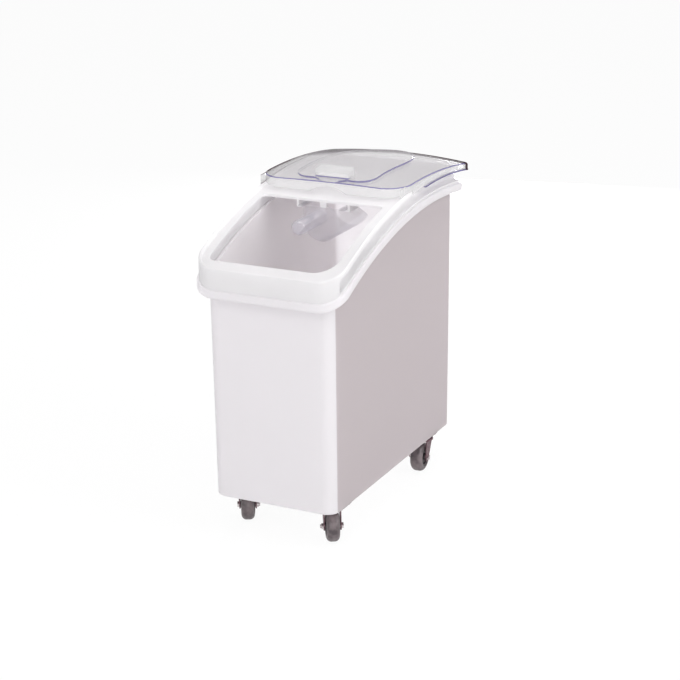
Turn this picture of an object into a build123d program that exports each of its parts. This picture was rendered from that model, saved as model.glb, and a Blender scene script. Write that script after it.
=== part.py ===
from build123d import *
import os
from collections import namedtuple
from math import hypot, pi, sin, sqrt

os.makedirs("parts", exist_ok=True)

# Frame in mm: floor at Z 0, front towards -Y, origin under the middle of the rim.
# An outline is a rounded rectangle seen from above.
Outline = namedtuple("Outline", "half_width front rear corner")

# Driving sizes of the whole bin
RIM = Outline(192.1, -374.5, 374.5, 60)
FLOOR_OUTSIDE = 91.4
BODY_SHIFT = -1.6
BODY_CORNER = 31.5
BODY_HALF_WIDTH = 160.0
BODY_HALF_DEPTH = 340.1
SIDE_DRAFT = 0.0049
END_DRAFT = 0.0074
WALL = 4.0
OVERLAP = 1.0
FLOOR_THICKNESS = 5.0
FLOOR_EDGE_RADIUS = 5.0
INSIDE_FLOOR_RADIUS = 4.0

# Side profile: arcs about one line across the bin
ARC_Y = 172.0
ARC_Z = -400.0
RIM_LOW = 1125.6
RIM_TOP = 1147.7
SPIGOT_TOP = 1152.0
SKIRT_TOP = 1153.0
DECK_TOP = 1186.0
FLANGE_LOW = 1181.5
CREST_TOP = 1192.0
SEAT = 0.02

# Sizes of cutting blocks, which clear the whole bin
REACH = RIM.rear + RIM.corner
SIDE_REACH = RIM.half_width + RIM.corner / 2
LOFT_TOP = CREST_TOP + ARC_Z + WALL
TALL = CREST_TOP

# Hood: the white frame with the slanted opening
HOOD = Outline(188.0, -370.5, 370.5, 60)
SKIRT_INSET = 2.2
NECK_INSET = 16.7
COVE_RADIUS = 12.0
RIDGE_WIDTH = 9.0
RIDGE_SLOPE = 5.0
RIM_TOP_ROUND = 6.0
RIM_LOW_ROUND = 8.0
CREST_ROUND = 4.0
FRONT_BLOCK_DEPTH = 30.5
OPENING = Outline(157.8, -336.5, -60.6, 54)
OPENING_LEFT_CORNER = 14.0
OPENING_REAR_CORNER = 10.0
LIP_THICKNESS = 3.5
LIP_DEPTH = 1.5

# Scoop rails under the crossbar
HOOK_X = 67.0
HOOK_THICKNESS = 5.0
HOOK_FRONT = -62.0
HOOK_REAR = -14.0
FOOT_REACH = 9.0
FOOT_LOW = 741.0
FOOT_THICKNESS = 3.5
WEDGE_TOP_WIDTH = 30.0
WEDGE_LOW_WIDTH = 14.0
WEDGE_LOW = 744.0
WEDGE_DEPTH = 7.0

# Sliding lid
LID = Outline(191.7, -36.0, 371.0, 62)
LID_REAR_CORNER = 12.0
LID_WALL = 3.0
LID_ARC_Y = 90.0
LID_ARC_Z = -836.5
LID_SIDE_RADIUS = 1640.0
LID_CROWN = 11.0
LID_FRONT_CROWN = 3.0
CROWN_GROWTH = 110.0
LID_FOLD_RADIUS = 6.0
LID_SKIRT_FRONT = 30.0
LIP_FRONT = 105.0
RIDGE_CLEARANCE = 1.5
LIP_GAP = 1.0
LID_LIP_WIDTH = 7.0
LID_LIP_THICKNESS = 3.5
GLIDE_INSET = 5.7
GLIDE_START = 10.0
GLIDE_THICKNESS = 2.5
GLIDE_GAP = 0.3
PANEL = Outline(104.0, -20.0, 160.0, 42)
PANEL_REAR_GAP = 15.0
PANEL_RISE = 3.0
GRIP = Outline(46.0, -16.0, 20.0, 5)
GRIP_RISE = 19.0
NOTCH_HALF_WIDTH = 58.0
NOTCH_FOOT = 10.0
NOTCH_HEIGHT = 15.0
NOTCH_DEPTH = 20.0

# Scoop
SCOOP_RADIUS = 47.0
SCOOP_CENTRE_Z = 712.0
SCOOP_WALL = 2.5
SCOOP_BACK = -72.0
SCOOP_TIP = 92.0
SCOOP_TIP_Z = 694.0
SCOOP_MOUTH_START = 8.0
WING_REACH = 61.0
WING_REAR = -16.0
REST_GAP = 0.3
HANDLE_RADIUS = 18.0
HANDLE_ROOT_Z = 727.0
HANDLE_LENGTH = 124.0
HANDLE_END_RADIUS = 12.0

# Casters
WHEEL_RADIUS = 37.5
TYRE_HALF_WIDTH = 16.0
TYRE_EDGE = 12.0
HUB_RADIUS = 24.0
HUB_HALF_WIDTH = 14.0
HUB_RECESS = 4.0
HUB_RIM = 4.0
BOSS_RADIUS = 9.0
BOSS_HALF_WIDTH = 17.6
TRAIL = 17.0
PLATE_LENGTH = 84.0
PLATE_WIDTH = 54.0
PLATE_THICKNESS = 3.0
PLATE_CORNER = 7.0
RACE_RADIUS = 26.0
RACE_HEIGHT = 4.0
RACE_ROUND = 2.0
FORK_GAP = 0.4
FORK_RADIUS = 28.5
FORK_TOP_THICKNESS = 4.0
FORK_ROUND = 2.5
LEG_THICKNESS = 2.5
LEG_INSIDE = 18.5
LEG_TOP_HALF = 20.0
LEG_END_RADIUS = 11.0
PIN_RADIUS = 5.0
PIN_HEAD_RADIUS = 9.0
PIN_HEAD_HEIGHT = 3.0
PIN_HEAD_ROUND = 2.0
AXLE_RADIUS = 4.5
RUNNING_GAP = 0.06
HEAD_RADIUS = 7.5
HEAD_HEIGHT = 5.0
NUT_STAND = 3.0
FRONT_AXIS = (113.0, -262.0)
REAR_AXIS = (128.0, 227.0)

# Bolts that hold the caster plates
BOLT_RADIUS = 3.0
BOLT_SPACING_LONG = 66.0
BOLT_SPACING_SHORT = 38.0
BOLT_HEAD_RADIUS = 5.5
BOLT_HEAD_HEIGHT = 2.6
NUT_RADIUS = 5.5
NUT_HEIGHT = 4.5
BOLT_STAND = 1.5

# Each caster: swivel axis, heading of its wheel and turn of its plate, in degrees
Caster = namedtuple("Caster", "x y heading plate_turn")
CASTERS = {
    "front_left": Caster(-FRONT_AXIS[0], FRONT_AXIS[1], 26.5, 0),
    "front_right": Caster(FRONT_AXIS[0], FRONT_AXIS[1], 212.0, 0),
    "rear_left": Caster(-REAR_AXIS[0], REAR_AXIS[1], 172.0, 90),
    "rear_right": Caster(REAR_AXIS[0], REAR_AXIS[1], 184.0, 90),
}


def inset(outline, amount):
    """The same outline, moved inwards all round."""
    return Outline(
        outline.half_width - amount,
        outline.front + amount,
        outline.rear - amount,
        max(outline.corner - amount, 1.0),
    )


def outline_sketch(outline, rear_corner=None, left_corner=None):
    """The outline as a flat face at Z 0, its rear or front left corners set apart if asked."""
    depth = outline.rear - outline.front
    middle = (outline.front + outline.rear) / 2
    if rear_corner is None:
        return Pos(0, middle) * RectangleRounded(2 * outline.half_width, depth, outline.corner)
    face = Rectangle(2 * outline.half_width, depth)
    front_left, front_right = face.vertices().group_by(Axis.Y)[0].sort_by(Axis.X)
    face = fillet(front_right, outline.corner)
    front_left = face.vertices().group_by(Axis.Y)[0].sort_by(Axis.X)[0]
    face = fillet(front_left, left_corner or outline.corner)
    face = fillet(face.vertices().group_by(Axis.Y)[-1], rear_corner)
    return Pos(0, middle) * face


def raised(face, low=0.0):
    """An upright block with a flat face as its plan."""
    return Pos(0, 0, low) * extrude(face, amount=TALL - low)


def column(outline, rear_corner=None, low=0.0):
    """An upright block with the outline as its plan."""
    return raised(outline_sketch(outline, rear_corner), low)


def under_arc(radius):
    """Everything below one arc of the side profile."""
    return Pos(0, ARC_Y, ARC_Z) * Rot(0, 90, 0) * Cylinder(radius, 2 * REACH)


def between_arcs(block, low_radius, high_radius):
    """The part of a block between two arcs of the side profile."""
    return (block & under_arc(high_radius)) - under_arc(low_radius)


def outline_distance(point, outline):
    """How far a point lies from the outline, seen from above."""
    half_depth = (outline.rear - outline.front) / 2
    middle = (outline.front + outline.rear) / 2
    beyond_x = abs(point.X) - (outline.half_width - outline.corner)
    beyond_y = abs(point.Y - middle) - (half_depth - outline.corner)
    if beyond_x > 0 and beyond_y > 0:
        return abs(hypot(beyond_x, beyond_y) - outline.corner)
    return abs(max(beyond_x, beyond_y) - outline.corner)


def arc_edges(solid, radius, outline):
    """Edges that lie both on one side-profile arc and on an outline."""
    found = []
    for edge in solid.edges():
        point = edge.position_at(0.5)
        from_arc = abs(hypot(point.Y - ARC_Y, point.Z - ARC_Z) - radius)
        if from_arc < 0.05 and outline_distance(point, outline) < 0.05:
            found.append(edge)
    return found


def box(low, high):
    """A block given by its lowest and highest corners."""
    size = [b - a for a, b in zip(low, high)]
    middle = [(a + b) / 2 for a, b in zip(low, high)]
    return Pos(*middle) * Box(*size)


# Tub


def tapered_body(thickness, floor):
    """The drafted body, moved inwards by a wall thickness, from a floor height up."""
    faces = []
    for height in (floor, LOFT_TOP):
        above = height - FLOOR_OUTSIDE
        half_width = BODY_HALF_WIDTH + SIDE_DRAFT * above - thickness
        half_depth = BODY_HALF_DEPTH + END_DRAFT * above - thickness
        corner = BODY_CORNER - thickness
        face = RectangleRounded(2 * half_width, 2 * half_depth, corner)
        faces.append(Pos(0, BODY_SHIFT, height) * face)
    return loft(faces, ruled=True)


def plate_place(caster):
    """Where a caster's plate sits under the tub."""
    return Pos(caster.x, caster.y, 0) * Rot(0, 0, caster.plate_turn)


def bolt_places():
    """The four bolt centres of one plate, about its swivel axis."""
    places = []
    for side in (-1, 1):
        for end in (-1, 1):
            places.append(Pos(side * BOLT_SPACING_LONG / 2, end * BOLT_SPACING_SHORT / 2))
    return places


def all_bolts(piece):
    """A copy of a piece at every plate bolt."""
    copies = []
    for caster in CASTERS.values():
        for place in bolt_places():
            copies.append(plate_place(caster) * place * piece)
    return copies


body = tapered_body(0, FLOOR_OUTSIDE)
body = fillet(body.faces().sort_by(Axis.Z)[0].edges(), FLOOR_EDGE_RADIUS)
cavity_floor = FLOOR_OUTSIDE + FLOOR_THICKNESS
cavity = tapered_body(WALL, cavity_floor)
cavity = fillet(cavity.faces().sort_by(Axis.Z)[0].edges(), INSIDE_FLOOR_RADIUS)

rim = between_arcs(column(RIM), RIM_LOW, RIM_TOP)
rim = fillet(arc_edges(rim, RIM_TOP, RIM), RIM_TOP_ROUND)
rim = fillet(arc_edges(rim, RIM_LOW, RIM), RIM_LOW_ROUND)
rim_channel = between_arcs(column(inset(RIM, WALL)), RIM_LOW - WALL, RIM_TOP - WALL)
spigot = between_arcs(column(inset(HOOD, NECK_INSET + WALL + OVERLAP)), RIM_TOP - WALL, SPIGOT_TOP)

tub = (body & under_arc(RIM_TOP - WALL)) + (rim - (rim_channel - body)) + spigot
tub -= cavity
for hole in all_bolts(Pos(0, 0, FLOOR_OUTSIDE) * Cylinder(BOLT_RADIUS + SEAT, 4 * FLOOR_THICKNESS)):
    tub -= hole

# Hood

neck_outline = inset(HOOD, NECK_INSET)
skirt = between_arcs(column(inset(HOOD, SKIRT_INSET)), RIM_TOP + SEAT, SKIRT_TOP)
neck = between_arcs(column(neck_outline), RIM_TOP + SEAT, DECK_TOP)
hood = skirt + neck
hood = fillet(arc_edges(hood, SKIRT_TOP, neck_outline), COVE_RADIUS)

flange = between_arcs(column(HOOD), FLANGE_LOW, CREST_TOP)
front_block_rear = HOOD.front + FRONT_BLOCK_DEPTH
front_zone = box((-REACH, -REACH, 0), (REACH, front_block_rear, TALL))
front_block = between_arcs(column(HOOD) & front_zone, RIM_TOP + SEAT, CREST_TOP)
cap = flange + front_block
cap = fillet(arc_edges(cap, CREST_TOP, HOOD), CREST_ROUND)
basin_outline = inset(HOOD, RIDGE_WIDTH)
basin = column(basin_outline) - under_arc(DECK_TOP)
cap -= basin
cap = chamfer(arc_edges(cap, CREST_TOP, basin_outline), RIDGE_SLOPE, RIDGE_SLOPE)
hood += cap

deck_low = DECK_TOP - WALL
hood -= column(inset(neck_outline, WALL)) & under_arc(deck_low)
void_zone = box((-REACH, -REACH, 0), (REACH, front_block_rear - WALL, TALL))
hood -= column(inset(HOOD, WALL)) & void_zone & under_arc(deck_low)

opening = raised(outline_sketch(OPENING, OPENING_REAR_CORNER, OPENING_LEFT_CORNER))
lip_outline = Outline(
    OPENING.half_width + LIP_THICKNESS,
    OPENING.front - LIP_THICKNESS,
    OPENING.rear + LIP_THICKNESS,
    OPENING.corner + LIP_THICKNESS,
)
lip_rear_corner = OPENING_REAR_CORNER + LIP_THICKNESS
lip_left_corner = OPENING_LEFT_CORNER + LIP_THICKNESS
lip_block = raised(outline_sketch(lip_outline, lip_rear_corner, lip_left_corner))
hood += between_arcs(lip_block, deck_low - LIP_DEPTH, DECK_TOP - OVERLAP)
hood -= opening


def scoop_rail(side):
    """One hanging rail with a foot turned towards the middle."""
    outer = side * (HOOK_X + HOOK_THICKNESS / 2)
    inner = side * (HOOK_X - HOOK_THICKNESS / 2)
    foot = side * (HOOK_X - HOOK_THICKNESS / 2 - FOOT_REACH)
    stem = box(
        (min(outer, inner), HOOK_FRONT, FOOT_LOW),
        (max(outer, inner), HOOK_REAR, LOFT_TOP),
    )
    sole = box(
        (min(outer, foot), HOOK_FRONT, FOOT_LOW),
        (max(outer, foot), HOOK_REAR, FOOT_LOW + FOOT_THICKNESS),
    )
    return (stem & under_arc(deck_low + OVERLAP)) + sole


wedge_face = Plane.XZ * make_face(
    Polyline(
        (-WEDGE_LOW_WIDTH / 2, WEDGE_LOW),
        (WEDGE_LOW_WIDTH / 2, WEDGE_LOW),
        (WEDGE_TOP_WIDTH / 2, LOFT_TOP),
        (-WEDGE_TOP_WIDTH / 2, LOFT_TOP),
        close=True,
    )
)
wedge = Pos(0, HOOK_FRONT + WEDGE_DEPTH, 0) * extrude(wedge_face, amount=WEDGE_DEPTH)
hood += scoop_rail(-1) + scoop_rail(1) + (wedge & under_arc(deck_low + OVERLAP))

# Sliding lid


def crown_face(y, rise):
    """The lid's crowned section at one place along it, moved up by a rise."""
    growth = min(max(y - LID.front, 0.0) / CROWN_GROWTH, 1.0)
    crown = LID_FRONT_CROWN + (LID_CROWN - LID_FRONT_CROWN) * sin(growth * pi / 2)
    fold_height = LID_ARC_Z + sqrt(LID_SIDE_RADIUS**2 - (y - LID_ARC_Y) ** 2) + rise
    sag = crown * (SIDE_REACH / (LID.half_width - LID_FOLD_RADIUS)) ** 2
    middle = fold_height + crown
    left = (-SIDE_REACH, middle - sag)
    right = (SIDE_REACH, middle - sag)
    top = ThreePointArc(left, (0, middle), right)
    sides = Polyline(right, (SIDE_REACH, 0), (-SIDE_REACH, 0), left)
    face = Plane.XZ * make_face([top, sides])
    return Pos(0, y, 0) * face


def crowned(rise):
    """Everything below the lid's crowned top, moved up by a rise."""
    spacing = CROWN_GROWTH / 4
    start = LID.front - spacing
    count = round((LID.rear - LID.front) / spacing) + 3
    return loft([crown_face(start + spacing * step, rise) for step in range(count)])


def panel_sketch(amount):
    """The raised panel seen from above, with an arched rear end, moved inwards."""
    plan = inset(PANEL, amount)
    straight_end = PANEL.rear
    middle = (plan.front + straight_end) / 2
    face = Rectangle(2 * plan.half_width, straight_end - plan.front)
    face = fillet(face.vertices().group_by(Axis.Y)[0], plan.corner)
    arch = LID.rear - PANEL_REAR_GAP - straight_end
    return Pos(0, middle) * face + Pos(0, straight_end) * Ellipse(plan.half_width, arch - amount)


lid_block = column(LID, LID_REAR_CORNER) & crowned(0)
fold_edges = []
for edge in lid_block.edges():
    if edge.position_at(0.5).Z > FOOT_LOW and abs(edge.tangent_at(0.5).Z) < 0.5:
        fold_edges.append(edge)
lid_shell = fillet(fold_edges, LID_FOLD_RADIUS)
lid_shell += (raised(panel_sketch(0)) & crowned(PANEL_RISE)) - lid_block
lid_shell += (column(GRIP) & crowned(GRIP_RISE)) - lid_block

lid_inside = column(inset(LID, LID_WALL), LID_REAR_CORNER - LID_WALL) & crowned(-LID_WALL)
lid_inside += raised(panel_sketch(LID_WALL), low=FOOT_LOW) & crowned(PANEL_RISE - LID_WALL)
lid_inside += column(inset(GRIP, LID_WALL), low=FOOT_LOW) & crowned(GRIP_RISE - LID_WALL)
lid_shell -= lid_inside

glide_low = CREST_TOP + GLIDE_GAP
clear_low = CREST_TOP + RIDGE_CLEARANCE
skirt_low = FLANGE_LOW + LIP_GAP
lip_top = FLANGE_LOW - LIP_GAP
lip_low = lip_top - LID_LIP_THICKNESS
far = SIDE_REACH
lid = lid_shell - under_arc(lip_low)
lid -= box((-far, -far, 0), (far, LID_SKIRT_FRONT, TALL)) & under_arc(clear_low)
lid -= box((-far, -far, 0), (far, LIP_FRONT, TALL)) & under_arc(skirt_low)
rear_wall_front = LID.rear - 4 * LID_WALL
inner_half = LID.half_width - LID_WALL
lid -= box((-inner_half, rear_wall_front, 0), (inner_half, REACH, TALL)) & under_arc(clear_low)
for side in (-1, 1):
    lip_inner = side * (inner_half - LID_LIP_WIDTH)
    lip_outer = side * (inner_half + LID_WALL / 2)
    lip_block = box(
        (min(lip_inner, lip_outer), LIP_FRONT, 0),
        (max(lip_inner, lip_outer), LID.rear - LID_WALL, TALL),
    )
    lid += between_arcs(lip_block, lip_low, lip_top)
    glide_outer = side * (LID.half_width - GLIDE_INSET)
    glide_inner = side * (LID.half_width - GLIDE_INSET - GLIDE_THICKNESS)
    glide_block = box(
        (min(glide_inner, glide_outer), LID.front + GLIDE_START, 0),
        (max(glide_inner, glide_outer), LID.rear - LID_WALL / 2, TALL),
    )
    lid += (glide_block & crowned(-LID_WALL / 2)) - under_arc(glide_low)

notch_low = ARC_Z + sqrt(clear_low**2 - (LID.front - ARC_Y) ** 2)
notch_top = notch_low + NOTCH_HEIGHT
notch_left = (-NOTCH_HALF_WIDTH, notch_low - NOTCH_FOOT)
notch_right = (NOTCH_HALF_WIDTH, notch_low - NOTCH_FOOT)
notch_arc = ThreePointArc(notch_left, (0, notch_top), notch_right)
notch_face = Plane.XZ * make_face([notch_arc, Line(notch_left, notch_right)])
lid -= Pos(0, LID.front + LID_WALL + OVERLAP, 0) * extrude(notch_face, amount=NOTCH_DEPTH)

# Scoop


def trough(radius, low_y, high_y):
    """A straight trough with a round bottom, open upwards."""
    round_part = Plane.XZ * (Pos(0, SCOOP_CENTRE_Z) * Circle(radius))
    top = FOOT_LOW + FOOT_THICKNESS + REST_GAP + SCOOP_WALL
    upper = box((-radius, low_y, SCOOP_CENTRE_Z), (radius, high_y, top))
    drum = Pos(0, high_y, 0) * extrude(round_part, amount=high_y - low_y)
    drum -= box((-far, -far, SCOOP_CENTRE_Z), (far, far, TALL))
    return drum + upper


wing_low = FOOT_LOW + FOOT_THICKNESS + REST_GAP
scoop = trough(SCOOP_RADIUS, SCOOP_BACK, SCOOP_TIP)
scoop -= trough(SCOOP_RADIUS - SCOOP_WALL, SCOOP_BACK + SCOOP_WALL, SCOOP_TIP + OVERLAP)
mouth_face = Plane.YZ * make_face(
    Polyline(
        (SCOOP_MOUTH_START, LOFT_TOP),
        (SCOOP_MOUTH_START, wing_low),
        (SCOOP_TIP, SCOOP_TIP_Z),
        (SCOOP_TIP + OVERLAP, SCOOP_TIP_Z),
        (SCOOP_TIP + OVERLAP, LOFT_TOP),
        close=True,
    )
)
scoop -= Pos(-far, 0, 0) * extrude(mouth_face, amount=2 * far)
for side in (-1, 1):
    wing_inner = side * (SCOOP_RADIUS - SCOOP_WALL / 2)
    wing_outer = side * WING_REACH
    scoop += box(
        (min(wing_inner, wing_outer), SCOOP_BACK, wing_low),
        (max(wing_inner, wing_outer), WING_REAR, wing_low + SCOOP_WALL),
    )
handle_place = Pos(0, SCOOP_BACK + SCOOP_WALL / 2, HANDLE_ROOT_Z) * Rot(90, 0, 0)
handle_length = HANDLE_LENGTH + SCOOP_WALL / 2
grip_rod = Pos(0, 0, handle_length / 2) * Cylinder(HANDLE_RADIUS, handle_length)
grip_rod = fillet(grip_rod.edges().sort_by(Axis.Z)[-1], HANDLE_END_RADIUS)
scoop += handle_place * grip_rod
bore_length = handle_length - SCOOP_WALL
bore = Pos(0, 0, bore_length / 2) * Cylinder(HANDLE_RADIUS - SCOOP_WALL, bore_length)
bore = fillet(bore.edges().sort_by(Axis.Z)[-1], HANDLE_END_RADIUS - SCOOP_WALL)
bore_start = Cylinder(HANDLE_RADIUS - SCOOP_WALL, 2 * SCOOP_WALL)
scoop -= handle_place * (bore + bore_start)

# Casters

plate_low = FLOOR_OUTSIDE - PLATE_THICKNESS
race_low = plate_low - RACE_HEIGHT
fork_top = race_low - FORK_GAP
fork_low = fork_top - FORK_TOP_THICKNESS


def upright(radius, low, high):
    """A round bar standing on the swivel axis."""
    return Pos(0, 0, (low + high) / 2) * Cylinder(radius, high - low)


def crosswise(radius, low, high):
    """A round bar along the wheel's axle."""
    return Pos((low + high) / 2, TRAIL, WHEEL_RADIUS) * Rot(0, 90, 0) * Cylinder(radius, high - low)


def hexagon(radius, height):
    """A hexagonal head or nut with its foot at Z 0."""
    return extrude(RegularPolygon(radius, 6), amount=height)


def plate_piece():
    """The mounting plate with its bearing race and four bolt holes."""
    flat = extrude(RectangleRounded(PLATE_LENGTH, PLATE_WIDTH, PLATE_CORNER), amount=PLATE_THICKNESS)
    piece = Pos(0, 0, plate_low) * flat
    race = upright(RACE_RADIUS, race_low, plate_low + OVERLAP)
    race = fillet(race.edges().sort_by(Axis.Z)[0], RACE_ROUND)
    piece += race
    piece -= upright(PIN_RADIUS + SEAT, 0, FLOOR_OUTSIDE + OVERLAP)
    for place in bolt_places():
        piece -= place * Pos(0, 0, plate_low) * Cylinder(BOLT_RADIUS + SEAT, 4 * PLATE_THICKNESS)
    return piece


def leg(side):
    """One fork leg, tapering from the swivel head to the axle."""
    top = Pos(0, fork_top - LEG_THICKNESS) * Rectangle(2 * LEG_TOP_HALF, LEG_THICKNESS)
    end = Pos(TRAIL, WHEEL_RADIUS) * Circle(LEG_END_RADIUS)
    face = Plane.YZ * make_hull(top.edges() + end.edges())
    start = side * LEG_INSIDE if side > 0 else -LEG_INSIDE - LEG_THICKNESS
    return Pos(start, 0, 0) * extrude(face, amount=LEG_THICKNESS)


def fork_piece():
    """The swivel fork: round head, two legs and their holes."""
    head = upright(FORK_RADIUS, fork_low, fork_top)
    head = fillet(head.edges().sort_by(Axis.Z)[-1], FORK_ROUND)
    piece = head + leg(-1) + leg(1)
    piece -= upright(PIN_RADIUS + RUNNING_GAP, 0, FLOOR_OUTSIDE)
    piece -= crosswise(AXLE_RADIUS + SEAT, -far, far)
    return piece


def kingpin_piece():
    """The rivet that carries the fork under its plate."""
    head_top = fork_low - FORK_GAP
    piece = upright(PIN_RADIUS, head_top - OVERLAP, FLOOR_OUTSIDE)
    head = upright(PIN_HEAD_RADIUS, head_top - PIN_HEAD_HEIGHT, head_top)
    head = fillet(head.edges().sort_by(Axis.Z)[0], PIN_HEAD_ROUND)
    return piece + head


def axle_piece():
    """The axle bolt with its hexagonal head."""
    outside = LEG_INSIDE + LEG_THICKNESS
    piece = crosswise(AXLE_RADIUS, -outside - OVERLAP, outside + HEAD_HEIGHT + NUT_STAND)
    head = Pos(-outside - SEAT - HEAD_HEIGHT, TRAIL, WHEEL_RADIUS) * Rot(0, 90, 0)
    return piece + head * hexagon(HEAD_RADIUS, HEAD_HEIGHT)


def nut_piece():
    """The axle nut outside the other leg."""
    outside = LEG_INSIDE + LEG_THICKNESS
    place = Pos(outside + SEAT, TRAIL, WHEEL_RADIUS) * Rot(0, 90, 0)
    return place * hexagon(HEAD_RADIUS, HEAD_HEIGHT) - crosswise(AXLE_RADIUS + SEAT, 0, far)


def hub_piece():
    """The wheel centre: rim, thin web and axle boss."""
    piece = crosswise(HUB_RADIUS, -HUB_HALF_WIDTH, HUB_HALF_WIDTH)
    recess_radius = HUB_RADIUS - HUB_RIM
    web = HUB_HALF_WIDTH - HUB_RECESS
    piece -= crosswise(recess_radius, web, HUB_HALF_WIDTH + OVERLAP)
    piece -= crosswise(recess_radius, -HUB_HALF_WIDTH - OVERLAP, -web)
    piece += crosswise(BOSS_RADIUS, -BOSS_HALF_WIDTH, BOSS_HALF_WIDTH)
    return piece - crosswise(AXLE_RADIUS + RUNNING_GAP, -far, far)


def tyre_piece():
    """The rubber tyre with its rounded tread."""
    piece = crosswise(WHEEL_RADIUS, -TYRE_HALF_WIDTH, TYRE_HALF_WIDTH)
    piece = fillet(piece.edges().filter_by(GeomType.CIRCLE), TYRE_EDGE)
    return piece - crosswise(HUB_RADIUS + SEAT, -far, far)


PIECES = {
    "plate": plate_piece,
    "fork": fork_piece,
    "kingpin": kingpin_piece,
    "axle": axle_piece,
    "axle_nut": nut_piece,
    "wheel_hub": hub_piece,
    "tyre": tyre_piece,
}
FIXED_TO_TUB = ("plate", "kingpin")

made = {"tub": tub, "hood": hood, "sliding_lid": lid, "scoop": scoop}
for corner, caster in CASTERS.items():
    turned = Pos(caster.x, caster.y, 0) * Rot(0, 0, caster.heading)
    for name, make in PIECES.items():
        place = plate_place(caster) if name in FIXED_TO_TUB else turned
        made[f"{corner}_{name}"] = place * make()

# Plate bolts and nuts

shank_low = plate_low - NUT_HEIGHT - BOLT_STAND
shank_top = cavity_floor + OVERLAP
shank = upright(BOLT_RADIUS, shank_low, shank_top)
head_low = cavity_floor + SEAT
bolt = shank + upright(BOLT_HEAD_RADIUS, head_low, head_low + BOLT_HEAD_HEIGHT)
nut = Pos(0, 0, plate_low - SEAT - NUT_HEIGHT) * hexagon(NUT_RADIUS, NUT_HEIGHT)
nut -= upright(BOLT_RADIUS + SEAT, shank_low - OVERLAP, plate_low + OVERLAP)
made["plate_bolts"] = Compound(children=all_bolts(bolt))
made["plate_nuts"] = Compound(children=all_bolts(nut))

for name, piece in made.items():
    export_step(piece, f"parts/{name}.step")
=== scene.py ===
import math

import bpy
import numpy as np
from bpy.props import FloatProperty, FloatVectorProperty, PointerProperty
from mathutils import Matrix, Vector

bl_info = {
    "name": "Rolling ingredient bin",
    "version": (1, 0, 0),
    "blender": (4, 5, 0),
    "location": "View3D > Sidebar > Bin",
    "description": "Dresses a slant-front ingredient bin with its plastics, steel and rubber",
    "category": "Object",
}

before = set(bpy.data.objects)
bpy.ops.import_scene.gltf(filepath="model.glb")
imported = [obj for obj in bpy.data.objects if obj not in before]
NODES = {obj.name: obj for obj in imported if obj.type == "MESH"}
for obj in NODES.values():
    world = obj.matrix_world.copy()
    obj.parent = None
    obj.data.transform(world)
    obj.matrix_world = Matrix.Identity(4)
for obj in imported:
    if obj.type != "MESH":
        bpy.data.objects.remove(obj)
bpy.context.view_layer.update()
MM = 0.001
CORNERS = ("front_left", "front_right", "rear_left", "rear_right")

# The camera, fitted to the photograph. Lengths here and below are metres.
CAMERA_PLACE = (2.015258, -4.014937, 1.895117)
CAMERA_AHEAD = (-0.42392, 0.84866, -0.31634)
CAMERA_ROLL_DEGREES = -0.6949
CAMERA_LENS_MM = 102.66
CAMERA_SENSOR_MM = 36

# Each lamp's name, place, target, width and watts. The back lamp stands low, so that the
# lid doesn't mirror it.
LAMPS = (
    ("front", (0.7, -4.7, 1.8), (0, 0, 0.5), 1.6, 48),
    ("over", (0.2, -3.2, 3.6), (0, -0.1, 0.6), 1.8, 45),
    ("back", (-0.8, 3.2, 0.3), (0, 0, 0.4), 0.6, 100),
    ("top", (0.4, 0.0, 3.4), (0, 0, 0.6), 2.4, 30),
    ("right", (3.5, 0.1, 2.4), (0, 0, 0.5), 2.2, 70),
)
BACKDROP_LIGHT = 0.51
FLOOR_WHITE_SHARE = 0.93

# The tub's long sides, which are drawn greyer as painted shade: the outer face lies between these
# half widths at floor level, and the draft widens it by this much per metre of height.
SIDE_HALF_WIDTHS = (0.1578, 0.165)
SIDE_DRAFT = 0.0049
SIDE_TURN = (0.7, 0.98)

# The hood's colour turns brighter between these heights: painted light on its upper part.
HOOD_PAINTED_LIGHT_HEIGHTS = (0.69, 0.77)

# Areas of the lid, and how far the upward part of a face's normal tells folds from flats.
LID_AXIS = (0, 0.172, -0.4)
LIP_RADIUS = 1.1803
PANEL_HALF_WIDTH = 0.110
PANEL_ENDS = (-0.03, 0.362)
PANEL_MIDDLE = 0.1
GRIP_HALF_WIDTH = 0.047
GRIP_ENDS = (-0.0165, 0.0225)
GRIP_LOW = 0.8095
REAR_STRIP = 0.347
LEFT_STRIP = -0.181
CORNER_START = 0.350
CORNER_HALF_WIDTH = 0.175
UPRIGHT_TURN = (-0.2, 0.2)
FOLD_TURN = (0.42, 0.86)
TOP_TURN = 0.3

# How much of the light that leaves each area comes from colour drawn on the plastic: painted
# reflection on the folds and steps, painted shade on the rims, and on the pale walls partly haze,
# partly painted light.
LINE_SHARE = 0.68
PALE_SHARE = 0.24
RIM_SHARE = 0.97
UNPOLISHED = 0.9

# The scoop's handle lies in front of the first place, its back plate of the second.
SCOOP_FRONTS = (-0.0725, -0.069)
SCOOP_SHARE = 0.08

# Where the clear tint changes, from 0 for seen straight on to 1 for seen along the surface. The
# lid's
# grazing tint is painted shade: it darkens the edges for the darker surroundings seen through
# them.
CLEAR_END = 0.45
SLANT_STOPS = (0.74, 0.87)
GRAZING_START = 0.93
HAZE_SLANTS = (0.2, 0.95)
BACK_GLOW = 0.4
MIRROR_SHARE = 0.4


def linear(hex_colour):
    """An sRGB hex colour as linear red, green, blue and alpha."""
    parts = np.array([int(hex_colour[i : i + 2], 16) for i in (1, 3, 5)]) / 255
    low = parts / 12.92
    high = ((parts + 0.055) / 1.055) ** 2.4
    return (*np.where(parts <= 0.04045, low, high).tolist(), 1.0)


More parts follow.
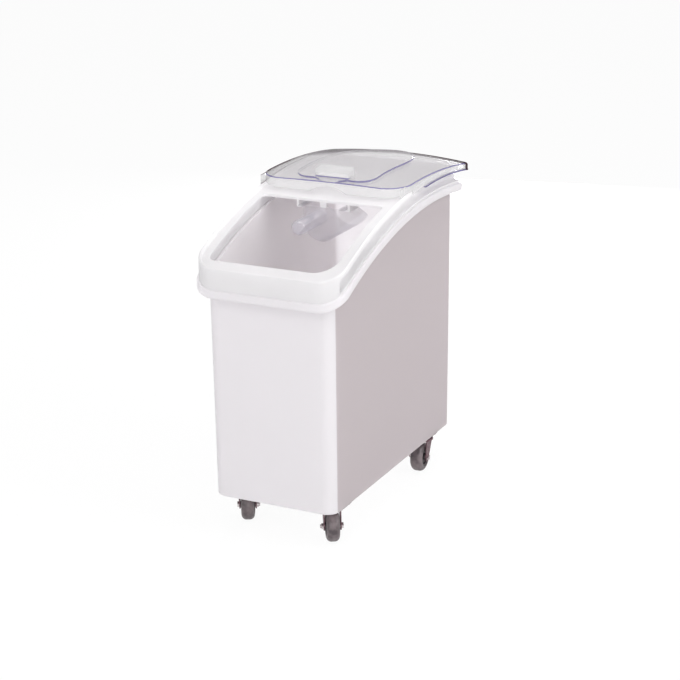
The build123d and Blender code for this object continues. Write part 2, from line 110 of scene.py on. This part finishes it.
def colour_setting(name, description, hex_colour):
    """A colour that the sidebar shows, stored linear."""
    return FloatVectorProperty(
        name=name,
        description=description,
        default=linear(hex_colour),
        subtype="COLOR",
        size=4,
        min=0.0,
        max=1.0,
    )


def length_setting(name, description, millimetres):
    """A length that the sidebar shows, stored in metres."""
    return FloatProperty(
        name=name,
        description=description,
        default=millimetres * MM,
        min=0.0,
        unit="LENGTH",
        precision=4,
    )


class BinSizes(bpy.types.PropertyGroup):
    """Sizes of surface detail and of the stage."""

    peel_grain: length_setting("Moulding grain", "Width of the soft ripple on moulded plastic", 7)
    peel_depth: length_setting("Moulding depth", "Height of that ripple", 0.05)
    cloud_size: length_setting("Tone patches", "Width of the faint tone patches of the tub", 180)
    plate_grain: length_setting("Zinc patches", "Width of the tone patches on zinc plate", 6)
    rubber_grain: length_setting("Rubber grain", "Width of the grain on the tyres", 2)
    rubber_depth: length_setting("Rubber depth", "Height of the grain on the tyres", 0.08)
    floor_half: length_setting("Floor", "Half the width of the studio floor", 20000)


class BinColours(bpy.types.PropertyGroup):
    """Colours of the finishes."""

    # Painted light: the tub's inside keeps these two lighter colours, which brighten its interior;
    # its outside takes the darker outside colour.
    tub: colour_setting("Tub", "White polyethylene of the tub", "#FAF9FA")
    tub_shade: colour_setting("Tub patches", "Where the tub looks a little darker", "#F7F6F7")
    tub_outside: colour_setting("Tub outside", "Ends, corners and rim of the tub", "#ECEAEC")
    # Painted shade: the long side walls are drawn greyer for the shade that falls on them.
    tub_side_painted_shade: colour_setting("Tub sides", "The long thin side walls", "#CAC2C4")
    hood: colour_setting("Hood", "White plastic of the hood", "#EDECED")
    hood_shade: colour_setting("Hood, darker patches", "Where the hood looks darker", "#EAE9EA")
    # Painted light: the hood's upper part is drawn brighter for the light that falls on it from
    # above.
    hood_top_painted_light: colour_setting("Hood, upper part", "Deck, crossbar and upper rails", "#F5F4F5")
    lid: colour_setting("Lid", "Clear plastic seen straight on", "#FDFDFD")
    lid_slant: colour_setting("Lid, slanting", "Clear plastic seen at a slant", "#F6F5F6")
    # Painted shade: the lid's grazing tint darkens its edges for the dark surroundings seen
    # through them.
    lid_grazing_painted_shade: colour_setting("Lid, grazing", "Clear plastic seen along its surface", "#6A566A")
    # Painted reflection: the blue-violet lines on the folds, steps and lips stand for what these
    # bends reflect.
    lid_fold_painted_reflection: colour_setting("Lid folds", "Light that leaves the folds and steps", "#6A63A0")
    # Painted shade: the dark brown strips along the lid's rear rim, left fold and rear corners.
    lid_rim_painted_shade: colour_setting("Lid rim", "The lid's rear rim and left fold", "#4E3C42")
    scoop: colour_setting("Scoop", "Clear plastic of the scoop", "#FFFFFF")
    scoop_slant: colour_setting("Scoop, slanting", "Scoop seen at a slant", "#FEFEFF")
    scoop_edge: colour_setting("Scoop edges", "Haze of the scoop where seen edge-on", "#E4DFEA")
    zinc: colour_setting("Zinc plate", "Pressed steel of the forks", "#83696F")
    zinc_dark: colour_setting("Zinc plate, dull", "Dull patches of the forks", "#5A434A")
    bright: colour_setting("Bright steel", "Bolts, axles and nuts", "#D6D3D3")
    hub: colour_setting("Hub", "Nylon wheel centres", "#4C4649")
    rubber: colour_setting("Tyre", "Rubber of the tyres", "#473E41")
    rubber_worn: colour_setting("Tyre, worn", "Tread where it touches the floor", "#756A6C")
    floor: colour_setting("Floor", "Studio floor", "#FFFFFF")


def add_node(tree, kind, inputs=None, **settings):
    """Adds one node, with its settings, input values and links."""
    node = tree.nodes.new(kind)
    for name, value in settings.items():
        setattr(node, name, value)
    for name, value in (inputs or {}).items():
        socket = node.inputs[name]
        if isinstance(value, bpy.types.NodeSocket):
            tree.links.new(value, socket)
        else:
            socket.default_value = value
    return node


def new_material(name):
    """An empty node material and its tree."""
    material = bpy.data.materials.new(name)
    material.use_nodes = True
    material.node_tree.nodes.clear()
    return material, material.node_tree


def finish_material(tree, shader):
    """Links a shader socket to the material's output."""
    add_node(tree, "ShaderNodeOutputMaterial", {"Surface": shader})


def patches(tree, size, detail=2.0):
    """Soft noise whose patches are about one size wide, in metres."""
    place = add_node(tree, "ShaderNodeTexCoord").outputs["Object"]
    inputs = {"Vector": place, "Scale": 1 / size, "Detail": detail, "Roughness": 0.5}
    return add_node(tree, "ShaderNodeTexNoise", inputs).outputs["Fac"]


def two_tone(tree, factor, first, second):
    """One colour turning to another as the factor rises through its middle."""
    ramp = add_node(tree, "ShaderNodeValToRGB", {"Fac": factor})
    ramp.color_ramp.elements[0].position = 0.35
    ramp.color_ramp.elements[1].position = 0.65
    ramp.color_ramp.elements[0].color = first
    ramp.color_ramp.elements[1].color = second
    return ramp.outputs["Color"]


def ripple(tree, size, depth):
    """A bump of soft grain, one size wide and one depth high."""
    grain = patches(tree, size)
    inputs = {"Height": grain, "Distance": depth, "Strength": 1.0}
    return add_node(tree, "ShaderNodeBump", inputs).outputs["Normal"]


def math_result(tree, operation, first, second=0.0, third=0.0):
    """The result of one sum on numbers or number sockets."""
    inputs = {0: first, 1: second, 2: third}
    return add_node(tree, "ShaderNodeMath", inputs, operation=operation).outputs[0]


def between(tree, value, limits):
    """1 where a number socket lies between two limits, else 0."""
    low, high = limits
    return math_result(tree, "COMPARE", value, (low + high) / 2, (high - low) / 2)


def over(tree, value, limit):
    """1 where a number socket is greater than a limit, else 0."""
    return math_result(tree, "GREATER_THAN", value, limit)


def under(tree, value, limit):
    """1 where a number socket is less than a limit, else 0."""
    return math_result(tree, "LESS_THAN", value, limit)


def both(tree, first, second):
    """1 where both masks are 1."""
    return math_result(tree, "MULTIPLY", first, second)


def either(tree, first, second):
    """1 where one of two masks is 1."""
    return math_result(tree, "MAXIMUM", first, second)


def mixed_colour(tree, factor, first, second):
    """The first colour at factor 0, the second at 1."""
    inputs = {"Factor": factor, "A": first, "B": second}
    return add_node(tree, "ShaderNodeMix", inputs, data_type="RGBA").outputs["Result"]


def vector_result(tree, operation, first, second=(0, 0, 0), output="Vector"):
    """The result of one sum on vectors or vector sockets."""
    inputs = {0: first, 1: second}
    return add_node(tree, "ShaderNodeVectorMath", inputs, operation=operation).outputs[output]


def place_and_turn(tree):
    """The point of a face and the direction that it is turned to, each by X, Y and Z."""
    place = add_node(tree, "ShaderNodeTexCoord").outputs
    spot = add_node(tree, "ShaderNodeSeparateXYZ", {"Vector": place["Object"]}).outputs
    turned = add_node(tree, "ShaderNodeSeparateXYZ", {"Vector": place["Normal"]}).outputs
    return spot, turned


def outward(tree, middle=0.0):
    """1 on faces that are turned away from an upright line on X 0, 0 on faces turned to it."""
    place = add_node(tree, "ShaderNodeTexCoord").outputs
    across = vector_result(tree, "SUBTRACT", place["Object"], (0, middle, 0))
    across = vector_result(tree, "MULTIPLY", across, (1, 1, 0))
    turn = vector_result(tree, "DOT_PRODUCT", across, place["Normal"], output="Value")
    return over(tree, turn, -0.005)


def painted_shade_on_long_sides(tree):
    """Painted shade: 1 on the flat long sides of the tub's outside, 0 on its ends, corners, rim
    and inside.
    """
    spot, turned = place_and_turn(tree)
    sideways = math_result(tree, "ABSOLUTE", turned["X"])
    inputs = {"Value": sideways, "From Min": SIDE_TURN[0], "From Max": SIDE_TURN[1]}
    flat = add_node(tree, "ShaderNodeMapRange", inputs).outputs["Result"]
    draft = math_result(tree, "MULTIPLY", spot["Z"], SIDE_DRAFT)
    width = math_result(tree, "SUBTRACT", math_result(tree, "ABSOLUTE", spot["X"]), draft)
    outside = over(tree, width, SIDE_HALF_WIDTHS[0])
    inside_rim = under(tree, width, SIDE_HALF_WIDTHS[1])
    return both(tree, flat, both(tree, outside, inside_rim))


def painted_light_towards_deck(tree):
    """Painted light: 0 on the hood's front band, rising to 1 towards its deck, which is drawn
    brighter.
    """
    spot, _ = place_and_turn(tree)
    low, high = HOOD_PAINTED_LIGHT_HEIGHTS
    inputs = {"Value": spot["Z"], "From Min": low, "From Max": high}
    return add_node(tree, "ShaderNodeMapRange", inputs).outputs["Result"]


def moulded_polyethylene(name, colour, shade, roughness, glow, areas):
    """White polyethylene, moulded: a waxy soft sheen, a faint peel and some light through it."""
    # The real peel is about 2 mm wide; it is drawn wider so that it shows at this distance.
    sizes = bpy.context.scene.bin_sizes
    material, tree = new_material(name)
    clouds = patches(tree, sizes.cloud_size, detail=3.0)
    tone = two_tone(tree, clouds, colour, shade)
    # Area colours laid over the tone. On the tub the lighter inside is painted light and the
    # greyer long sides painted shade; on the hood the brighter top is painted light.
    for mask, area_colour in areas:
        tone = mixed_colour(tree, mask(tree), tone, area_colour)
    spread = {"Value": clouds, "To Min": roughness - 0.05, "To Max": roughness + 0.05}
    shader = add_node(
        tree,
        "ShaderNodeBsdfPrincipled",
        {
            "Base Color": tone,
            "Roughness": add_node(tree, "ShaderNodeMapRange", spread).outputs["Result"],
            "Normal": ripple(tree, sizes.peel_grain, sizes.peel_depth),
            "IOR": 1.51,
        },
    )
    through = add_node(tree, "ShaderNodeBsdfTranslucent", {"Color": tone})
    inputs = {"Fac": glow, 1: shader.outputs["BSDF"], 2: through.outputs["BSDF"]}
    finish_material(tree, add_node(tree, "ShaderNodeMixShader", inputs).outputs["Shader"])
    return material


def panel_steps(tree, spot, beside, upright):
    """1 on the raised panel's outer steps, 0 on the grip that stands on it."""
    panel = both(tree, under(tree, beside, PANEL_HALF_WIDTH), between(tree, spot["Y"], PANEL_ENDS))
    return both(tree, both(tree, panel, outward(tree, PANEL_MIDDLE)), upright)


def finger_grip(tree, spot, beside):
    """1 on the raised finger grip."""
    grip = both(tree, between(tree, spot["Y"], GRIP_ENDS), over(tree, spot["Z"], GRIP_LOW))
    return both(tree, grip, under(tree, beside, GRIP_HALF_WIDTH))


def hooked_lips(tree):
    """1 on the lips under the lid's sides, which lie nearest to its axis."""
    place = add_node(tree, "ShaderNodeTexCoord").outputs["Object"]
    from_axis = vector_result(tree, "SUBTRACT", place, LID_AXIS)
    from_axis = vector_result(tree, "MULTIPLY", from_axis, (0, 1, 1))
    return under(tree, vector_result(tree, "LENGTH", from_axis, output="Value"), LIP_RADIUS)


def lid_rims(tree, spot, turned, beside):
    """1 on the rims drawn dark as painted shade: the rear strip, the left strip and the rear
    corners.
    """
    top = over(tree, turned["Z"], TOP_TURN)
    rear = both(tree, over(tree, spot["Y"], REAR_STRIP), top)
    left = both(tree, under(tree, spot["X"], LEFT_STRIP), top)
    start = over(tree, spot["Y"], CORNER_START)
    corner = both(tree, start, over(tree, beside, CORNER_HALF_WIDTH))
    return either(tree, either(tree, rear, left), corner)


def lid_cloud(tree):
    """Share and colour of what is drawn on the lid: painted reflection on its folds, steps and
    lips, painted shade on its rims, and on its pale walls partly haze, partly painted light.
    """
    colours = bpy.context.scene.bin_colours
    spot, turned = place_and_turn(tree)
    beside = math_result(tree, "ABSOLUTE", spot["X"])
    upright = between(tree, turned["Z"], UPRIGHT_TURN)
    fold = between(tree, turned["Z"], FOLD_TURN)
    grip = finger_grip(tree, spot, beside)
    step = panel_steps(tree, spot, beside, upright)
    step = both(tree, step, math_result(tree, "SUBTRACT", 1.0, grip))
    rim = lid_rims(tree, spot, turned, beside)
    lines = either(tree, either(tree, fold, step), either(tree, hooked_lips(tree), rim))
    # White on the upright walls and grip: partly the plastic's haze, partly painted light.
    pale = either(tree, upright, grip)
    # Painted shade on the rims, painted reflection on the other lines.
    dark = mixed_colour(tree, rim, colours.lid_fold_painted_reflection, colours.lid_rim_painted_shade)
    colour = mixed_colour(tree, lines, (1, 1, 1, 1), dark)
    share = 0.0
    for area, part in ((lines, LINE_SHARE), (pale, PALE_SHARE), (rim, RIM_SHARE)):
        share = either(tree, share, math_result(tree, "MULTIPLY", area, part))
    return share, colour


def scoop_cloud(tree):
    """Share and colour of the scoop's satin handle and pale back plate; its bowl is clear."""
    spot, _ = place_and_turn(tree)
    handle, plate = (under(tree, spot["Y"], front) for front in SCOOP_FRONTS)
    share = math_result(tree, "MULTIPLY", math_result(tree, "ADD", handle, plate), SCOOP_SHARE)
    return share, bpy.context.scene.bin_colours.scoop_edge


def clear_polycarbonate(name, tones, haze, roughness, cloud):
    """Clear polycarbonate, injection moulded: see-through, darker where seen along its surface."""
    # The sheet is thin, so light is drawn going straight through it, tinted by the slant. On the
    # lid the grazing tint is painted shade, and the marked folds and rims are painted reflection
    # and painted shade.
    sizes = bpy.context.scene.bin_sizes
    clear, slant, grazing = tones
    material, tree = new_material(name)
    facing = add_node(tree, "ShaderNodeLayerWeight", {"Blend": 0.5}).outputs["Facing"]
    tint = add_node(tree, "ShaderNodeValToRGB", {"Fac": facing})
    ramp = tint.color_ramp
    ramp.elements[0].position = CLEAR_END
    ramp.elements[0].color = clear
    ramp.elements[1].position = GRAZING_START
    ramp.elements[1].color = grazing
    for position in SLANT_STOPS:
        ramp.elements.new(position).color = slant
    through = add_node(tree, "ShaderNodeBsdfTransparent", {"Color": tint.outputs["Color"]})
    marked, colour = cloud(tree)
    front_glow = add_node(tree, "ShaderNodeBsdfDiffuse", {"Color": colour})
    back_glow = add_node(tree, "ShaderNodeBsdfTranslucent", {"Color": colour})
    inputs = {"Fac": BACK_GLOW, 1: front_glow.outputs["BSDF"], 2: back_glow.outputs["BSDF"]}
    glow = add_node(tree, "ShaderNodeMixShader", inputs).outputs["Shader"]
    spread = {
        "Value": facing,
        "From Min": HAZE_SLANTS[0],
        "From Max": HAZE_SLANTS[1],
        "To Min": haze[0],
        "To Max": haze[1],
    }
    share = either(tree, add_node(tree, "ShaderNodeMapRange", spread).outputs["Result"], marked)
    inputs = {"Fac": share, 1: through.outputs["BSDF"], 2: glow}
    body = add_node(tree, "ShaderNodeMixShader", inputs)
    peel = ripple(tree, sizes.peel_grain, sizes.peel_depth)
    gloss = add_node(tree, "ShaderNodeBsdfGlossy", {"Roughness": roughness, "Normal": peel})
    mirror = add_node(tree, "ShaderNodeFresnel", {"IOR": 1.585}).outputs["Fac"]
    strength = math_result(tree, "MULTIPLY", mirror, MIRROR_SHARE)
    strength = both(tree, strength, under(tree, marked, UNPOLISHED))
    inputs = {"Fac": strength, 1: body.outputs["Shader"], 2: gloss.outputs["BSDF"]}
    finish_material(tree, add_node(tree, "ShaderNodeMixShader", inputs).outputs["Shader"])
    return material


def zinc_plated_steel(name, bright, dull, roughness):
    """Pressed steel, zinc plated: a grey metal with dull patches and fine scuffs."""
    sizes = bpy.context.scene.bin_sizes
    material, tree = new_material(name)
    mottle = patches(tree, sizes.plate_grain, detail=4.0)
    spread = {"Value": mottle, "To Min": roughness + 0.1, "To Max": roughness - 0.1}
    shader = add_node(
        tree,
        "ShaderNodeBsdfPrincipled",
        {
            "Base Color": two_tone(tree, mottle, dull, bright),
            "Roughness": add_node(tree, "ShaderNodeMapRange", spread).outputs["Result"],
            "Normal": ripple(tree, sizes.plate_grain, sizes.peel_depth),
            "Metallic": 1.0,
        },
    )
    finish_material(tree, shader.outputs["BSDF"])
    return material


def moulded_nylon(name, colour):
    """Dark nylon, injection moulded: an even half-matt grey with a light grain."""
    sizes = bpy.context.scene.bin_sizes
    material, tree = new_material(name)
    grain = patches(tree, sizes.plate_grain, detail=3.0)
    spread = {"Value": grain, "To Min": 0.42, "To Max": 0.55}
    shader = add_node(
        tree,
        "ShaderNodeBsdfPrincipled",
        {
            "Base Color": colour,
            "Roughness": add_node(tree, "ShaderNodeMapRange", spread).outputs["Result"],
            "Normal": ripple(tree, sizes.rubber_grain, sizes.peel_depth),
            "IOR": 1.53,
        },
    )
    finish_material(tree, shader.outputs["BSDF"])
    return material


def tyre_rubber(name, colour, worn):
    """Solid rubber, pressed in a mould: dark grey-brown, dusty where it is worn."""
    sizes = bpy.context.scene.bin_sizes
    material, tree = new_material(name)
    dust = patches(tree, sizes.plate_grain * 4, detail=4.0)
    spread = {"Value": dust, "To Min": 0.34, "To Max": 0.5}
    shader = add_node(
        tree,
        "ShaderNodeBsdfPrincipled",
        {
            "Base Color": two_tone(tree, dust, colour, worn),
            "Roughness": add_node(tree, "ShaderNodeMapRange", spread).outputs["Result"],
            "Normal": ripple(tree, sizes.rubber_grain, sizes.rubber_depth),
            "IOR": 1.52,
        },
    )
    finish_material(tree, shader.outputs["BSDF"])
    return material


def white_to_the_eye(tree):
    """1 for rays that show a background: straight ones, mirrored ones and ones through glass."""
    rays = add_node(tree, "ShaderNodeLightPath").outputs
    seen = either(tree, rays["Is Camera Ray"], rays["Is Glossy Ray"])
    return either(tree, seen, rays["Is Transmission Ray"])


def studio_floor(name, colour):
    """Pale paper floor: nearly white to the camera, and it keeps the bin's soft shadow."""
    material, tree = new_material(name)
    paper = add_node(tree, "ShaderNodeBsdfDiffuse", {"Color": colour})
    glow = add_node(tree, "ShaderNodeEmission", {"Color": colour, "Strength": 1.0})
    share = math_result(tree, "MULTIPLY", white_to_the_eye(tree), FLOOR_WHITE_SHARE)
    inputs = {"Fac": share, 1: paper.outputs["BSDF"], 2: glow.outputs["Emission"]}
    finish_material(tree, add_node(tree, "ShaderNodeMixShader", inputs).outputs["Shader"])
    return material


def studio_world(ambient):
    """A white backdrop to the eye, and even soft light on the bin."""
    world = bpy.data.worlds.new("studio")
    world.use_nodes = True
    tree = world.node_tree
    tree.nodes.clear()
    backdrop = add_node(tree, "ShaderNodeBackground", {"Color": (1, 1, 1, 1), "Strength": 1.0})
    light = add_node(tree, "ShaderNodeBackground", {"Color": (1, 1, 1, 1), "Strength": ambient})
    inputs = {"Fac": white_to_the_eye(tree), 1: light.outputs[0], 2: backdrop.outputs[0]}
    mixed = add_node(tree, "ShaderNodeMixShader", inputs)
    add_node(tree, "ShaderNodeOutputWorld", {"Surface": mixed.outputs["Shader"]})
    bpy.context.scene.world = world


def dress(node, material):
    """Gives a CAD node one finish."""
    slots = NODES[node].material_slots
    if not slots:
        NODES[node].data.materials.append(material)
    for item in slots:
        item.material = material


def soft_lamp(name, place, target, size, power):
    """A square area lamp aimed at a point."""
    lamp = bpy.data.lights.new(name, "AREA")
    lamp.size = size
    lamp.energy = power
    holder = bpy.data.objects.new(name, lamp)
    holder.location = place
    aim = Vector(target) - Vector(place)
    holder.rotation_euler = aim.to_track_quat("-Z", "Y").to_euler()
    bpy.context.scene.collection.objects.link(holder)


def photograph_camera():
    """The camera that took the photograph."""
    camera = bpy.data.cameras.new("camera")
    camera.sensor_width = CAMERA_SENSOR_MM
    camera.lens = CAMERA_LENS_MM
    holder = bpy.data.objects.new("camera", camera)
    roll = math.radians(CAMERA_ROLL_DEGREES)
    ahead = Vector(CAMERA_AHEAD).normalized()
    right = ahead.cross(Vector((0, 0, 1))).normalized()
    up = right.cross(ahead)
    turned_right = right * math.cos(roll) + up * math.sin(roll)
    turned_up = up * math.cos(roll) - right * math.sin(roll)
    axes = Matrix((turned_right, turned_up, -ahead)).transposed().to_4x4()
    axes.translation = Vector(CAMERA_PLACE)
    holder.matrix_world = axes
    bpy.context.scene.collection.objects.link(holder)
    bpy.context.scene.camera = holder


class BIN_OT_tub(bpy.types.Operator):
    """Dress the tub in white polyethylene"""

    bl_idname = "bin.tub"
    bl_label = "Tub"

    def execute(self, context):
        colours = context.scene.bin_colours
        tones = (colours.tub, colours.tub_shade)
        # Painted light and shade: the inside keeps the lighter tub colours, and the long sides are
        # drawn greyer.
        areas = ((outward, colours.tub_outside), (painted_shade_on_long_sides, colours.tub_side_painted_shade))
        finish = moulded_polyethylene("tub_polyethylene", *tones, 0.42, 0.42, areas)
        dress("tub", finish)
        return {"FINISHED"}


class BIN_OT_hood(bpy.types.Operator):
    """Dress the hood in brighter white plastic"""

    bl_idname = "bin.hood"
    bl_label = "Hood"

    def execute(self, context):
        colours = context.scene.bin_colours
        tones = (colours.hood, colours.hood_shade)
        # Painted light: the upper part of the hood is drawn brighter.
        areas = ((painted_light_towards_deck, colours.hood_top_painted_light),)
        finish = moulded_polyethylene("hood_polyethylene", *tones, 0.34, 0.4, areas)
        dress("hood", finish)
        return {"FINISHED"}


class BIN_OT_lid(bpy.types.Operator):
    """Dress the sliding lid in clear polycarbonate"""

    bl_idname = "bin.lid"
    bl_label = "Sliding lid"

    def execute(self, context):
        colours = context.scene.bin_colours
        tones = (colours.lid, colours.lid_slant, colours.lid_grazing_painted_shade)
        # Painted shade and painted reflection: the lid's grazing tint, fold lines and dark rims.
        finish = clear_polycarbonate("lid_polycarbonate", tones, (0.0, 0.04), 0.06, lid_cloud)
        dress("sliding_lid", finish)
        return {"FINISHED"}


class BIN_OT_scoop(bpy.types.Operator):
    """Dress the hanging scoop in clear polycarbonate"""

    bl_idname = "bin.scoop"
    bl_label = "Scoop"

    def execute(self, context):
        colours = context.scene.bin_colours
        tones = (colours.scoop, colours.scoop_slant, colours.scoop_slant)
        finish = clear_polycarbonate("scoop_polycarbonate", tones, (0.0, 0.14), 0.05, scoop_cloud)
        dress("scoop", finish)
        return {"FINISHED"}


class BIN_OT_caster_steel(bpy.types.Operator):
    """Dress the caster plates, forks, pins and fasteners in steel"""

    bl_idname = "bin.caster_steel"
    bl_label = "Caster steel"

    def execute(self, context):
        colours = context.scene.bin_colours
        dull = zinc_plated_steel("pressed_zinc_steel", colours.zinc, colours.zinc_dark, 0.42)
        bright = zinc_plated_steel("bright_fastener_steel", colours.bright, colours.zinc, 0.3)
        for corner in CORNERS:
            for piece in ("plate", "fork"):
                dress(f"{corner}_{piece}", dull)
            for piece in ("kingpin", "axle", "axle_nut"):
                dress(f"{corner}_{piece}", bright)
        dress("plate_bolts", bright)
        dress("plate_nuts", bright)
        return {"FINISHED"}


class BIN_OT_wheels(bpy.types.Operator):
    """Dress the wheel hubs in nylon and the tyres in rubber"""

    bl_idname = "bin.wheels"
    bl_label = "Wheels"

    def execute(self, context):
        colours = context.scene.bin_colours
        hub = moulded_nylon("hub_nylon", colours.hub)
        rubber = tyre_rubber("tyre_rubber", colours.rubber, colours.rubber_worn)
        for corner in CORNERS:
            dress(f"{corner}_wheel_hub", hub)
            dress(f"{corner}_tyre", rubber)
        return {"FINISHED"}


class BIN_OT_stage(bpy.types.Operator):
    """Set the camera, the lamps, the floor and the backdrop"""

    bl_idname = "bin.stage"
    bl_label = "Stage"

    def execute(self, context):
        scene = context.scene
        scene.view_settings.view_transform = "Standard"
        scene.cycles.max_bounces = 24
        scene.cycles.diffuse_bounces = 16
        scene.cycles.transparent_max_bounces = 24
        half = scene.bin_sizes.floor_half
        mesh = bpy.data.meshes.new("floor")
        corners = [(-half, -half, 0), (half, -half, 0), (half, half, 0), (-half, half, 0)]
        mesh.from_pydata(corners, [], [(0, 1, 2, 3)])
        floor = bpy.data.objects.new("floor", mesh)
        floor.data.materials.append(studio_floor("floor_paper", scene.bin_colours.floor))
        scene.collection.objects.link(floor)
        studio_world(BACKDROP_LIGHT)
        for lamp in LAMPS:
            soft_lamp(*lamp)
        photograph_camera()
        return {"FINISHED"}


class BIN_PT_sidebar(bpy.types.Panel):
    """List the sizes, colours and steps of the bin"""

    bl_label = "Ingredient bin"
    bl_idname = "BIN_PT_sidebar"
    bl_space_type = "VIEW_3D"
    bl_region_type = "UI"
    bl_category = "Bin"

    def draw(self, context):
        for group in (context.scene.bin_sizes, context.scene.bin_colours):
            for name in group.__annotations__:
                self.layout.prop(group, name)
        for step in STEPS:
            self.layout.operator(step.bl_idname)


STEPS = (
    BIN_OT_stage,
    BIN_OT_tub,
    BIN_OT_hood,
    BIN_OT_lid,
    BIN_OT_scoop,
    BIN_OT_caster_steel,
    BIN_OT_wheels,
)
CLASSES = (BinSizes, BinColours, *STEPS, BIN_PT_sidebar)


def register():
    for item in CLASSES:
        bpy.utils.register_class(item)
    bpy.types.Scene.bin_sizes = PointerProperty(type=BinSizes)
    bpy.types.Scene.bin_colours = PointerProperty(type=BinColours)


def unregister():
    del bpy.types.Scene.bin_colours
    del bpy.types.Scene.bin_sizes
    for item in reversed(CLASSES):
        bpy.utils.unregister_class(item)


def main():
    """Registers the add-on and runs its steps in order."""
    register()
    bpy.ops.bin.stage()
    bpy.ops.bin.tub()
    bpy.ops.bin.hood()
    bpy.ops.bin.lid()
    bpy.ops.bin.scoop()
    bpy.ops.bin.caster_steel()
    bpy.ops.bin.wheels()


if __name__ == "__main__":
    main()
